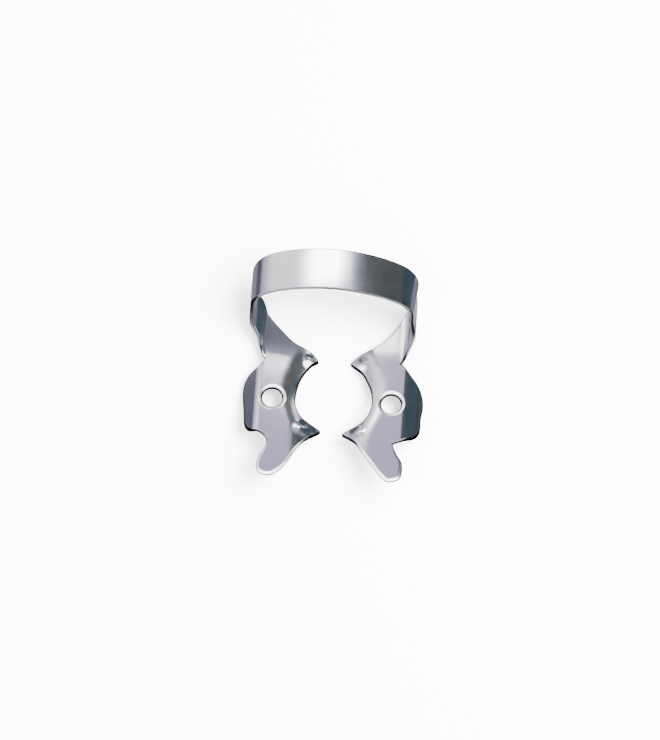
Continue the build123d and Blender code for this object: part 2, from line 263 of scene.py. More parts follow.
class Studio(bpy.types.PropertyGroup):
    floor: colour("Floor", "Colour of the floor", (0.93, 0.93, 0.93))
    front: colour("Front of the room", "Colour of the bright room behind the camera", (1.0, 1.0, 1.0))
    back: colour("Back of the room", "Colour of the room that the faces mirror", (0.71, 0.67, 0.96))
    screen: colour("Soft screen", "Colour of the soft light at the left", (1.0, 0.98, 1.0))
    dark: colour("Dark side", "Colour of the unlit right side of the room", (0.07, 0.085, 0.08))
    far_dark: colour("Far right", "Colour of the far right of the room", (0.035, 0.075, 0.10))
    dim: colour("Dim side", "Colour of the unlit left side of the room", (0.08, 0.085, 0.10))
    ground: colour("Below", "Colour of what the upright edges mirror", (0.012, 0.012, 0.02))
    low_back: colour("Low at the back", "Colour of what the crown's underside mirrors", (0.36, 0.34, 0.44))
    paper: colour("Mirrored paper", "Colour of the paper that shows in the undersides", (0.75, 0.75, 0.8))
    front_strength: number("Front strength", "Strength of the front of the room", 8.0)
    back_strength: number("Back strength", "Strength of the back of the room", 1.0)
    screen_strength: number("Screen strength", "Strength of the soft light at the left", 1.8)
    panel_strength: number("Panel strength", "Strength of the panel that the crown mirrors", 18.0)
    neck_strength: number("Neck panel strength", "Strength of the panel that the right neck mirrors", 4.5)
    key_power: number("Key light", "Watts of the softbox that throws the shadow", 12.0)


# Shape of the formed sheet, in millimetres, with the jaw plates in the XY plane and the bow at +Y


def sizes_of(group):
    """The group's values, with lengths in millimetres, and the sizes that follow from them."""
    form = SimpleNamespace()
    for key in group.__annotations__:
        value = getattr(group, key)
        is_length = group.bl_rna.properties[key].unit == "LENGTH"
        setattr(form, key, value / MM if is_length else value)
    form.middle = form.sheet / 2
    form.foot_start = form.half_width - form.sheet - form.foot_radius
    form.fold_offset = form.foot_start + form.fold_past_foot
    form.hole_offset = form.fold_offset - form.hole_inset
    form.shoulder_x = form.half_width - form.shoulder_radius
    rise = form.bow_height - form.leg_height
    form.crown_radius = (form.shoulder_x**2 + rise**2 - form.shoulder_radius**2) / (2 * (rise - form.shoulder_radius))
    form.crown_centre = form.bow_height - form.crown_radius
    form.blend = pi / 2 - asin(form.shoulder_x / (form.crown_radius - form.shoulder_radius))
    form.runs = [
        (form.foot_radius + form.middle) * pi / 2,
        form.leg_height - form.foot_radius,
        (form.shoulder_radius - form.middle) * form.blend,
        (form.crown_radius - form.middle) * (pi / 2 - form.blend),
    ]
    form.half_length = sum(form.runs)
    return form


def bow_place(form, along, depth):
    """X and Z of the bow at distances along its middle line from the foot, at depths under its inner face."""
    foot, leg, shoulder, crown = form.runs
    turn = np.clip(along / foot, 0, 1) * pi / 2
    x = form.foot_start + (form.foot_radius + depth) * np.sin(turn)
    z = form.foot_radius - (form.foot_radius + depth) * np.cos(turn)
    z = z + np.clip(along - foot, 0, leg)
    past = along - foot - leg
    turn = np.clip(past / shoulder, 0, 1) * form.blend
    radius = form.shoulder_radius - form.sheet + depth
    x = np.where(past > 0, form.shoulder_x + radius * np.cos(turn), x)
    z = np.where(past > 0, form.leg_height + radius * np.sin(turn), z)
    past = past - shoulder
    turn = form.blend + np.clip(past / crown, 0, 1) * (pi / 2 - form.blend)
    radius = form.crown_radius - form.sheet + depth
    x = np.where(past > 0, radius * np.cos(turn), x)
    z = np.where(past > 0, form.crown_centre + radius * np.sin(turn), z)
    return x, z


def leg_draw(form, side, along, y):
    """How far the legs are drawn in at places along the sheet and along Y."""
    steps = np.linspace(0, 1, SHARE_STEPS)
    here = np.clip(along / form.half_length, 0, 1)

    def shares_here(shares, column):
        return np.interp(here, steps, [follow(shares, step, column) for step in steps])

    drawn = form.leg_draw * shares_here(DRAW_SHARES, 1 if side > 0 else 2)
    if side < 0:
        return drawn
    twist = form.leg_twist * shares_here(DRAW_SHARES, 3)
    mesial = form.foot_mesial + (form.crown_mesial - form.foot_mesial) * shares_here(EDGE_SHARES, 1)
    distal = form.foot_distal + (form.crown_distal - form.foot_distal) * shares_here(EDGE_SHARES, 2)
    return drawn - np.sin(twist) * (y - (mesial + distal) / 2)


def drop(past, radius, turn):
    """How far a face bent at a radius has dropped, at distances past the start of the bend."""
    run = radius * sin(turn)
    inside = np.clip(past, 0, run)
    return radius - np.sqrt(radius**2 - inside**2) + np.maximum(past - run, 0) * tan(turn)


def roll_start(form, y):
    """How far out the roll towards the tooth starts, at places along the jaw."""
    share = np.minimum(np.abs(y - form.roll_middle) / form.roll_span, 1)
    spread = form.roll_share - form.roll_share_ends
    return form.foot_start * (form.roll_share_ends + spread * np.cos(share * pi / 2) ** 2)


def jaw_height(form, x, y, depth):
    """Height of the jaw plate at a place in its plan, between its top and its underside."""
    start = roll_start(form, y) + form.roll_ease * tan(form.roll_angle / 2)
    top = -drop(start - x, form.roll_radius + form.roll_ease + form.sheet, form.roll_angle)
    top = top - drop(x - form.fold_offset, form.fold_radius + form.sheet, form.fold_angle)
    under = -form.sheet - drop(start - x, form.roll_radius + form.roll_ease, form.roll_angle)
    under = under - drop(x - form.fold_offset, form.fold_radius, form.fold_angle)
    share = depth / form.sheet
    return top * (1 - share) + under * share


def press_domes(side, x, y):
    """Height of the low domes that the press leaves at the roots of the prongs."""
    height = np.zeros(len(x))
    for hand in (1, -1):
        for middle_x, middle_y, radius, rise in DOMES[hand]:
            away = np.hypot(x - middle_x, y - middle_y) / radius
            dome = rise * (1 + np.cos(np.clip(away, 0, 1) * pi)) / 2
            height = height + np.where(side == hand, dome, 0)
    return height


def place_sheet(form, flat, depth):
    """Places in space of points of the flat blank, at depths under its top.
    Across the blank, 0 is the top of the crown and the right jaw is at the positive end."""
    side = np.where(flat[:, 0] >= 0, 1.0, -1.0)
    y = flat[:, 1]
    along = form.half_length - np.abs(flat[:, 0])
    x_jaw = form.foot_start + side * form.bow_shift + along
    z_jaw = jaw_height(form, x_jaw, y, depth) + press_domes(side, x_jaw, y)
    x_bow, z_bow = bow_place(form, along, depth)
    drawn = np.where(side > 0, leg_draw(form, 1, along, y), leg_draw(form, -1, along, y))
    x_bow = x_bow + side * form.bow_shift - drawn
    waist = CORNERS[1]["waist"][1]
    blend = np.clip((y - waist + WAIST_START) / WAIST_RUN, 0, 1)
    blend = np.where(along > 0, blend * blend * (3 - 2 * blend), 0)
    x = x_jaw * (1 - blend) + x_bow * blend
    z = z_jaw * (1 - blend) + z_bow * blend
    return np.column_stack([side * x, y, z])


# Outline of the flat blank


def follow(shares, share, column):
    """Value of a column of shares, on a smooth curve through its rows."""
    rows = [(row[0], row[column]) for row in shares]
    slopes = []
    for i in range(len(rows)):
        before, after = rows[max(i - 1, 0)], rows[min(i + 1, len(rows) - 1)]
        slopes.append((after[1] - before[1]) / (after[0] - before[0]))
    slopes[-1] = 0
    i = max(k for k in range(len(rows) - 1) if rows[k][0] <= share)
    gap = rows[i + 1][0] - rows[i][0]
    t = (share - rows[i][0]) / gap
    start = rows[i][1] * (1 + 2 * t) * (1 - t) ** 2 + slopes[i] * gap * t * (1 - t) ** 2
    return start + rows[i + 1][1] * t**2 * (3 - 2 * t) - slopes[i + 1] * gap * t**2 * (1 - t)


def smooth_curve(points, step):
    """Points of a natural cubic curve through the given ones, a step apart."""
    points = np.array(points, float)
    gaps = np.linalg.norm(np.diff(points, axis=0), axis=1)
    knots = np.concatenate([[0], np.cumsum(gaps)])
    count = len(points)
    system = np.zeros((count, count))
    right = np.zeros((count, 2))
    for i in range(1, count - 1):
        system[i, i - 1 : i + 2] = gaps[i - 1], 2 * (gaps[i - 1] + gaps[i]), gaps[i]
        right[i] = 6 * ((points[i + 1] - points[i]) / gaps[i] - (points[i] - points[i - 1]) / gaps[i - 1])
    # The end curvatures follow their neighbours, as in a curve with no stated end direction
    system[0, :2] = 1, -1
    system[-1, -2:] = -1, 1
    bend = np.linalg.solve(system, right)
    t = np.linspace(0, knots[-1], max(3, int(knots[-1] / step)))
    i = np.clip(np.searchsorted(knots, t, side="right") - 1, 0, count - 2)
    gap = gaps[i][:, None]
    left, rest = (knots[i + 1] - t)[:, None], (t - knots[i])[:, None]
    curve = bend[i] * left**3 / (6 * gap) + bend[i + 1] * rest**3 / (6 * gap)
    curve = curve + (points[i] / gap - bend[i] * gap / 6) * left
    return curve + (points[i + 1] / gap - bend[i + 1] * gap / 6) * rest


def between(start, end, shares):
    """A curve from one corner to the next, bent to its left by the shares."""
    along = (end[0] - start[0], end[1] - start[1])
    inner = [
        (start[0] + a * along[0] - b * along[1], start[1] + a * along[1] + b * along[0]) for a, b in shares
    ]
    return smooth_curve([start, *inner, end], CURVE_STEP)


def hollow(form, start, end, shares):
    """The arc from prong to prong, hollowed out towards the foot."""
    along = (end[0] - start[0], end[1] - start[1])
    inner = [(start[0] + a * along[0] + b * form.foot_start, start[1] + a * along[1]) for a, b in shares]
    return smooth_curve([start, *inner, end], CURVE_STEP)


def straight(start, end):
    """A straight line from one corner to the next."""
    start, end = np.array(start), np.array(end)
    steps = np.linspace(0, 1, max(3, int(np.linalg.norm(end - start) / CURVE_STEP)))[:, None]
    return start + (end - start) * steps


def bow_edge(form, side, column, foot, crown):
    """One edge of half the bow, from foot to crown: distance along the sheet, and Y."""
    rows = []
    for along in np.linspace(0, form.half_length, BOW_STEPS):
        share = along / form.half_length
        edge = foot + (crown - foot) * follow(EDGE_SHARES, share, column)
        x, _ = bow_place(form, along, form.middle)
        rows.append((along, edge - form.bow_skew * side * float(x) * min(along / form.skew_run, 1)))
    return np.array(rows)


def meet(mesial, top_edge):
    """Cuts the bow's mesial edge and the wing's upper edge off where they cross."""
    for i in range(len(mesial) - 1):
        if mesial[i, 1] >= np.interp(mesial[i, 0], top_edge[:, 0], top_edge[:, 1]):
            return mesial[i:], top_edge[top_edge[:, 0] > mesial[i, 0]]
    return mesial, top_edge


def half_outline(form, side):
    """Curves of half the blank's outline, from the crown's far edge round the jaw to its near edge."""
    foot = form.foot_start + side * form.bow_shift
    at = {}
    for name, (x, y) in CORNERS[side].items():
        if name in ("prong", "far_prong", "tail_end"):
            at[name] = (x * form.foot_start - foot, y)
        elif name == "waist":
            at[name] = (form.foot_start + x - foot, y)
        else:
            at[name] = (form.fold_offset + x - foot, y)
    curves = CURVES[side]
    distal = bow_edge(form, side, 2, form.foot_distal, form.crown_distal)
    mesial = bow_edge(form, side, 1, form.foot_mesial, form.crown_mesial)
    neck = between(at["prong"], (0, form.foot_distal), curves["neck"])
    arc = hollow(form, at["far_prong"], at["prong"], curves["arc"])
    tail_inner = between(at["tail_end"], at["far_prong"], curves["tail_inner"])
    tail = between(at["tail_root"], at["tail_end"], curves["tail"])
    wing = between(at["waist"], at["wing_end"], curves["wing"])
    shared = [distal[::-1], neck[::-1], arc[::-1], tail_inner[::-1], tail[::-1]]
    if side > 0:
        notch = [straight(at["notch"], at["tail_root"])[::-1], straight(at["wing_end"], at["notch"])[::-1]]
        mesial, top_edge = meet(mesial, straight((0, form.foot_mesial), at["waist"]))
        return [*shared, *notch, wing[::-1], top_edge[::-1], mesial]
    notch = smooth_curve([at["wing_end"], at["notch"], at["tail_root"]], CURVE_STEP)[::-1]
    mesial = mesial[mesial[:, 1] > at["waist"][1]]
    return [*shared, notch, wing[::-1], mesial]


def rounded(pieces, radius):
    """One line of points along the curves, with the corners rounded. The first and last joints have none."""
    line = [pieces[0]]
    for joint, follower in enumerate(pieces[1:]):
        before = line[-1]
        if joint in (0, len(pieces) - 2):
            line.append(follower[1:] if np.allclose(before[-1], follower[0]) else follower)
            continue
        incoming = before[-1] - before[-4]
        outgoing = follower[3] - follower[0]
        turn = atan2(incoming[0] * outgoing[1] - incoming[1] * outgoing[0], incoming @ outgoing)
        cut = min(radius * tan(abs(turn) / 2), CORNER_CUT)
        far_before = np.linalg.norm(before - before[-1], axis=1) > cut
        far_after = np.linalg.norm(follower - follower[0], axis=1) > cut
        last = np.max(np.nonzero(far_before)[0])
        first = np.min(np.nonzero(far_after)[0])
        corner, start, end = before[-1], before[last], follower[first]
        t = np.linspace(0, 1, CORNER_POINTS)[1:-1, None]
        weight = cos(abs(turn) / 2)
        scale = (1 - t) ** 2 + 2 * weight * t * (1 - t) + t**2
        line[-1] = before[: last + 1]
        line.append(((1 - t) ** 2 * start + 2 * weight * t * (1 - t) * corner + t**2 * end) / scale)
        line.append(follower[first:])
    return np.vstack(line)


def blank_outline(form, step):
    """The whole outline of the blank, its points a step apart."""
    halves = []
    for side in (1, -1):
        line = rounded(half_outline(form, side), form.corner_round)
        line = np.column_stack([side * (form.half_length - line[:, 0]), line[:, 1]])
        halves.append(line)
    loop = np.vstack([halves[0], halves[1][::-1][1:-1]])
    closed = np.vstack([loop, loop[:1]])
    gaps = np.linalg.norm(np.diff(closed, axis=0), axis=1)
    keep = np.concatenate([gaps > TINY, [True]])
    closed = closed[keep]
    places = np.concatenate([[0], np.cumsum(np.linalg.norm(np.diff(closed, axis=0), axis=1))])
    marks = np.linspace(0, places[-1], int(places[-1] / step), endpoint=False)
    return np.column_stack([np.interp(marks, places, closed[:, k]) for k in (0, 1)])


def signed_area(loop):
    """Twice the area inside a closed line, and negative where the line runs clockwise."""
    return np.sum(loop[:, 0] * np.roll(loop[:, 1], -1) - np.roll(loop[:, 0], -1) * loop[:, 1])


def inward(loop):
    """Unit directions into the material at each point of a closed line."""
    ahead = np.roll(loop, -1, axis=0) - np.roll(loop, 1, axis=0)
    normal = np.column_stack([-ahead[:, 1], ahead[:, 0]]) * np.sign(signed_area(loop))
    return normal / np.linalg.norm(normal, axis=1)[:, None]


def worn_and_highlit_share(flat):
    """1 on the tails, whose edges are worn and painted bright as a highlight, and on the spots painted bright as
    highlights; 0 on the rest of the blank.
    """
    share = np.clip((TAIL_WEAR_AND_HIGHLIGHT - flat[:, 1]) / TAIL_WEAR_AND_HIGHLIGHT_RUN, 0, 1)
    for across, along, radius in HIGHLIGHT_SPOTS:
        away = np.hypot(flat[:, 0] - across, flat[:, 1] - along) / radius
        share = np.maximum(share, np.clip(2 - 2 * away, 0, 1))
    return share


def edge_widths(form, loop):
    """Width of the worn edge along a closed line: narrower round its tight corners."""
    ahead = np.roll(loop, -1, axis=0) - loop
    gap = np.linalg.norm(ahead, axis=1)
    heading = np.arctan2(ahead[:, 1], ahead[:, 0])
    turn = (heading - np.roll(heading, 1) + pi) % (2 * pi) - pi
    bend = np.maximum(turn * np.sign(signed_area(loop)) / gap, TINY)
    width = form.bow_edge + (form.edge_width - form.bow_edge) * worn_and_highlit_share(loop)
    width = np.clip(ROUND_SHARE / bend, NARROWEST, width)
    reach = int(WIDTH_REACH / gap.mean())
    for blur in (np.min, np.mean):
        width = blur([np.roll(width, k) for k in range(-reach, reach + 1)], axis=0)
    return width[:, None]


def inside(points, loop):
    """Which points lie inside a closed line."""
    hit = np.zeros(len(points), bool)
    x, y = points[:, 0], points[:, 1]
    for (x0, y0), (x1, y1) in zip(loop, np.roll(loop, -1, axis=0)):
        if y0 == y1:
            continue
        crosses = (y0 > y) != (y1 > y)
        hit ^= crosses & (x < (x1 - x0) * (y - y0) / (y1 - y0) + x0)
    return hit


def distance_to(points, loop):
    """Distance of each point to the nearest point of a line."""
    best = np.full(len(points), np.inf)
    batch = 64
    for start in range(0, len(loop), batch):
        gap = points[:, None, :] - loop[None, start : start + batch, :]
        best = np.minimum(best, np.sqrt((gap**2).sum(2).min(1)))
    return best


def columns(form, step):
    """Lines across the blank for the inner points of its mesh, closer together in the bends."""
    places = [0.0]
    fold = form.half_length - (form.fold_offset - form.foot_start)
    while places[-1] < form.half_length + GRID_SIDE:
        here = places[-1]
        along = form.half_length - here
        near_fold = abs(here - fold + FOLD_BACK) < FOLD_REACH
        near_foot = -FOOT_MARGIN < along < form.runs[0] + FOOT_MARGIN
        places.append(here + (step * BEND_SHARE if near_fold or near_foot else step))
    return sorted({-p for p in places} | set(places))


def flat_mesh(form, top_loop, centres, circle, flat_rim):
    """Points of the blank inside its edges, those of its outline and rims first, and the triangles between."""
    step = form.mesh_step
    hole_loops = [centre + circle * flat_rim for centre in centres]
    rows = np.arange(GRID_NEAR, GRID_FAR, step)
    grid = np.array([(u, v) for u in columns(form, step) for v in rows])
    grid = grid[inside(grid, top_loop)]
    grid = grid[distance_to(grid, top_loop) > step * GRID_SHARE]
    for centre in centres:
        grid = grid[np.linalg.norm(grid - centre, axis=1) > flat_rim + step * GRID_SHARE]
    flat = np.vstack([top_loop, *hole_loops, grid])
    edges = []
    start = 0
    for loop in (top_loop, *hole_loops):
        edges += [(start + i, start + (i + 1) % len(loop)) for i in range(len(loop))]
        start += len(loop)
    verts, _, faces, originals, _, _ = delaunay_2d_cdt([Vector(p) for p in flat], edges, [], 0, TINY / 10)
    if len(verts) != len(flat):
        raise RuntimeError(f"the blank's outline crosses itself: {len(verts)} points for {len(flat)}")
    order = np.array([group[0] for group in originals])
    faces = np.array([[order[i] for i in face] for face in faces])
    middles = flat[faces].mean(1)
    keep = inside(middles, top_loop)
    for centre in centres:
        keep &= np.linalg.norm(middles - centre, axis=1) > flat_rim * RIM_INSIDE
    faces = faces[keep]
    corners = flat[faces]
    turn = np.cross(corners[:, 1] - corners[:, 0], corners[:, 2] - corners[:, 0])
    faces[turn < 0] = faces[turn < 0][:, ::-1]
    return flat, faces


def sheet_mesh(form):
    """Vertices and faces of the formed sheet, and for each vertex how much wear and painted highlight, and how much
    painted shade, it carries.
    """
    outer = blank_outline(form, form.mesh_step * OUTLINE_SHARE)
    into = inward(outer)
    spin = np.linspace(0, 2 * pi, HOLE_POINTS, endpoint=False)
    circle = np.column_stack([np.cos(spin), np.sin(spin)])
    centres = []
    for side in (1, -1):
        foot = form.foot_start + side * form.bow_shift
        centres.append(np.array([side * (form.half_length - (form.hole_offset - foot)), 0.0]))
    rim = form.hole_radius + form.rim_width
    wide = edge_widths(form, outer)
    flat, faces = flat_mesh(form, outer + into * (wide + FLAT_BAND), centres, circle, rim + FLAT_BAND)

    places = [place_sheet(form, flat, np.full(len(flat), depth)) for depth in (0.0, form.sheet)]
    polygons = [tuple(f) for f in faces[:, ::-1]] + [tuple(f + len(flat)) for f in faces]
    # For each point: wear with its painted highlight, and painted shade; the faces carry none
    painted_light_and_wear = [np.zeros((2 * len(flat), 2))]
    total = 2 * len(flat)

    def skirt(rows, top_start, count, flip):
        """Joins the top and the underside of a loop by rows of (flat points, depth, wear and painted highlight, painted
        shade).
        """
        nonlocal total
        rings = [list(range(top_start, top_start + count))]
        for points, depth, wear_and_highlight, painted_shade in rows:
            places.append(place_sheet(form, points, np.broadcast_to(depth, count)))
            painted_light_and_wear.append(np.column_stack([np.broadcast_to(wear_and_highlight, count), np.broadcast_to(painted_shade, count)]))
            rings.append(list(range(total, total + count)))
            total += count
        rings.append([i + len(flat) for i in rings[0]])
        for upper, lower in zip(rings, rings[1:]):
            for i in range(count):
                j = (i + 1) % count
                quad = (upper[i], upper[j], lower[j], lower[i])
                polygons.append(quad[::-1] if flip else quad)

    tails = worn_and_highlit_share(outer)
    on_bow = np.clip((form.half_length - form.runs[0] / 2 - np.abs(outer[:, 0])) / BOW_ROUND_RUN, 0, 1)
    deep = form.bow_edge + (form.edge_depth - form.bow_edge) * tails
    # The top row of every edge but the tails' gets painted shade
    rows = [(outer + into * wide, 0, 0, TOP_SHADE * (1 - tails))]
    # Down each edge: a painted highlight on the tails and spots, then painted shade; painted shade all down the other
    # edges
    for out, down, wear_and_highlight, dark, painted_shade_elsewhere in EDGE_ROWS:
        painted_shade = dark * tails + painted_shade_elsewhere * (1 - tails)
        rows.append((outer + into * wide * (1 - out), deep * down, wear_and_highlight * tails, painted_shade))
    lower = form.under_round + (form.bow_round - form.under_round) * on_bow
    # The lower rounding and the upright sides are painted dark as shade, darker along the bow
    painted_shade = WALL_SHADE + (BOW_EDGE_SHADE - WALL_SHADE) * on_bow
    for turn in ROUND_ROWS:
        inset = into * lower[:, None] * (1 - sin(turn))
        rows.append((outer + inset, form.sheet - lower * (1 - cos(turn)), 0, painted_shade))
    rows.append((outer + into * (lower[:, None] + FLAT_BAND), form.sheet, 0, 0))
    skirt(rows, 0, len(outer), signed_area(outer) < 0)

    mouth, lower = form.hole_radius - form.hole_taper, form.under_round
    # Each rim takes the edge rows' painted highlight and painted shade, and the hole's wall below is painted black as
    # shade
    for index, centre in enumerate(centres):
        rows = [(centre + circle * rim, 0, 0, 0)]
        for out, down, wear_and_highlight, dark, _ in EDGE_ROWS:
            radius, depth = rim - form.rim_width * out, form.rim_depth * down * RIM_SINK
            rows.append((centre + circle * radius, depth, wear_and_highlight, dark))
        for turn in ROUND_ROWS:
            radius = mouth + lower * (1 - sin(turn))
            rows.append((centre + circle * radius, form.sheet - lower * (1 - cos(turn)), 0, 1))
        rows.append((centre + circle * (mouth + lower + FLAT_BAND), form.sheet, 0, 0))
        skirt(rows, len(outer) + index * len(circle), len(circle), True)
    return np.vstack(places), polygons, np.vstack(painted_light_and_wear)


def row_frame(form):
    """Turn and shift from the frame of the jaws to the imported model's, found from its right forceps hole."""
    hole = next(m for m in frame["record"]["mounts"] if m["name"] == "right_forceps_hole")
    turn = Matrix.Rotation(-form.rest_tilt, 4, "X")
    inside_hole = Vector((form.hole_offset, 0, -(form.sheet + form.rim_depth) / 2)) * MM
    return Matrix.Translation(Vector(hole["pos_m"]) - turn @ inside_hole) @ turn


# Materials


class Value:
    """A socket that Python arithmetic can use."""

    def __init__(self, shader, socket):
        self.shader, self.socket = shader, socket

    def _math(self, operation, *others):
        inputs = {i: v for i, v in enumerate((self, *others))}
        return self.shader.node("ShaderNodeMath", {"operation": operation}, inputs)

    def __add__(self, other):
        return self._math("ADD", other)

    def __sub__(self, other):
        return self._math("SUBTRACT", other)

    def __rsub__(self, other):
        return self.shader.node("ShaderNodeMath", {"operation": "SUBTRACT"}, {0: other, 1: self})

    def __mul__(self, other):
        return self._math("MULTIPLY", other)

    def clamped(self):
        return self.shader.node("ShaderNodeClamp", {}, {"Value": self})


class Shader:
    """Builds a material's nodes."""

    def __init__(self, name, tree=None):
        self.material = None
        if tree is None:
            self.material = bpy.data.materials.new(name)
            self.material.use_nodes = True
            tree = self.material.node_tree
            tree.nodes.clear()
        self.tree = tree

    def node(self, kind, settings, inputs, output=0):
        """Adds a node with its settings, links or sets its inputs, and gives one of its outputs."""
        made = self.tree.nodes.new(kind)
        for key, value in settings.items():
            setattr(made, key, value)
        for key, value in inputs.items():
            socket = made.inputs[key]
            if isinstance(value, Value):
                self.tree.links.new(value.socket, socket)
            else:
                socket.default_value = value
        return Value(self, made.outputs[output]) if made.outputs else None

    def ramp(self, value, low, high):
        """0 below low, 1 above high, and smooth between."""
        limits = {"Value": value, "From Min": low, "From Max": high, "To Min": 0.0, "To Max": 1.0}
        return self.node("ShaderNodeMapRange", {"interpolation_type": "SMOOTHSTEP"}, limits)

    def mix(self, share, first, second):
        """A mix of two colours."""
        return self.node("ShaderNodeMix", {"data_type": "RGBA"}, {0: share, 6: first, 7: second}, 2)

    def noise(self, place, scale, detail, roughness=0.5):
        inputs = {"Vector": place, "Scale": scale, "Detail": detail, "Roughness": roughness}
        return self.node("ShaderNodeTexNoise", {}, inputs)

    def stretched(self, place, scale):
        return self.node("ShaderNodeMapping", {}, {"Vector": place, "Scale": scale})

    def parts(self, place):
        """X, Y and Z of a place or direction."""
        return [self.node("ShaderNodeSeparateXYZ", {}, {"Vector": place}, axis) for axis in "XYZ"]

    def bump(self, strength, distance, height, **normal):
        """A normal bumped by a height; normal may hold Normal=, the one that it starts from."""
        inputs = {"Strength": strength, "Distance": distance, "Height": height, **normal}
        return self.node("ShaderNodeBump", {}, inputs)

    def attribute(self, name):
        return self.node("ShaderNodeAttribute", {"attribute_name": name}, {}, "Fac")


def rgba(value, strength=1.0):
    """A colour socket's value, made brighter by a strength."""
    return (*(strength * part for part in value), 1.0)


def steel_material(look):
    """Polished spring steel: slow waves and faint rolling lines, with a cloudy polish, white where the edges are worn
    and painted as a highlight, and near black where shade is painted.
    """
    shader = Shader("spring_steel_polish")
    place = shader.node("ShaderNodeTexCoord", {}, {}, "Object")
    x, _, z = shader.parts(place)
    lines = shader.noise(shader.stretched(place, LINES_STRETCH), *LINES)
    clouds, waves, specks = (shader.noise(place, *kind) for kind in (CLOUDS, WAVES, SPECKS))
    streaks = shader.noise(shader.stretched(place, STREAKS_STRETCH), *STREAKS)
    # Masks kept on the sheet's points: wear with painted highlight, and painted shade
    worn, cut = shader.attribute("worn"), shader.attribute("cut")

    cloudy = ((clouds - CLOUD_START) * CLOUD_GAIN).clamped()
    base = shader.mix(cloudy * CLOUD_SHARE, rgba(look.steel), rgba(look.cloud))
    streaked = shader.ramp(x, *BOW_STREAKS) * shader.ramp(z, *HIGH_STREAKS) + shader.ramp(x, *WING_STREAKS)
    streaked = streaked.clamped() * ((streaks - STREAK_START) * STREAK_GAIN).clamped()
    base = shader.mix(streaked * STREAK_SHARE, base, rgba(look.streak))
    # Painted highlight and painted shade: white on the worn and highlit edges and rims, near black on the upright sides
    # and hole walls
    base = shader.mix(worn, base, rgba(look.worn))
    base = shader.mix(cut, base, rgba(look.cut))
    rough = (lines - 0.5) * LINE_GLOSS + (clouds - 0.5) * CLOUD_GLOSS + worn * WORN_GLOSS + look.roughness
    slow = shader.bump(1.0, look.wave_depth, waves)
    fine = shader.bump(FINE_BUMP, FINE_DEPTH * MM, lines * 0.5 + specks * 0.5, Normal=slow)
    inputs = {"Base Color": base, "Metallic": 1.0, "Roughness": rough.clamped(), "Normal": fine}
    surface = shader.node("ShaderNodeBsdfPrincipled", {}, inputs)
    shader.node("ShaderNodeOutputMaterial", {}, {"Surface": surface})
    return shader.material


def floor_material(studio):
    """Plain matt paper."""
    shader = Shader("pale_paper")
    place = shader.node("ShaderNodeTexCoord", {}, {}, "Object")
    fibres = shader.bump(PAPER_BUMP, PAPER_DEPTH * MM, shader.noise(place, *PAPER))
    inputs = {"Base Color": rgba(studio.floor), "Roughness": PAPER_ROUGHNESS, "Normal": fibres}
    surface = shader.node("ShaderNodeBsdfPrincipled", {}, inputs)
    shader.node("ShaderNodeOutputMaterial", {}, {"Surface": surface})
    return shader.material


def mesh_object(name, verts, faces):
    """A smooth-shaded object in the scene."""
    mesh = bpy.data.meshes.new(name)
    mesh.from_pydata([tuple(v) for v in verts], [], faces)
    mesh.validate()
    mesh.update()
    mesh.shade_smooth()
    made = bpy.data.objects.new(name, mesh)
    bpy.context.scene.collection.objects.link(made)
    return made


class CLAMP_OT_sheet(bpy.types.Operator):
    """Form the clamp from its flat blank, with rounded edges and rimmed holes"""

    bl_idname = "clamp.sheet"
    bl_label = "Form the Sheet"

    def execute(self, context):
        form = sizes_of(context.scene.clamp_shape)
        places, faces, painted_light_and_wear = sheet_mesh(form)
        matrix = row_frame(form)
        turn = np.array(matrix.to_3x3())
        verts = (places * MM) @ turn.T + np.array(matrix.translation)
        piece = mesh_object("formed_sheet", verts, faces)
        # The steel reads these as masks: wear with painted highlight, and painted shade
        for name, values in zip(("worn", "cut"), painted_light_and_wear.T):
            attribute = piece.data.attributes.new(name, "FLOAT", "POINT")
            attribute.data.foreach_set("value", np.ascontiguousarray(values))
        piece.data.materials.append(steel_material(context.scene.clamp_steel))
        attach(piece, "root")
        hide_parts("clamp")
        return {"FINISHED"}


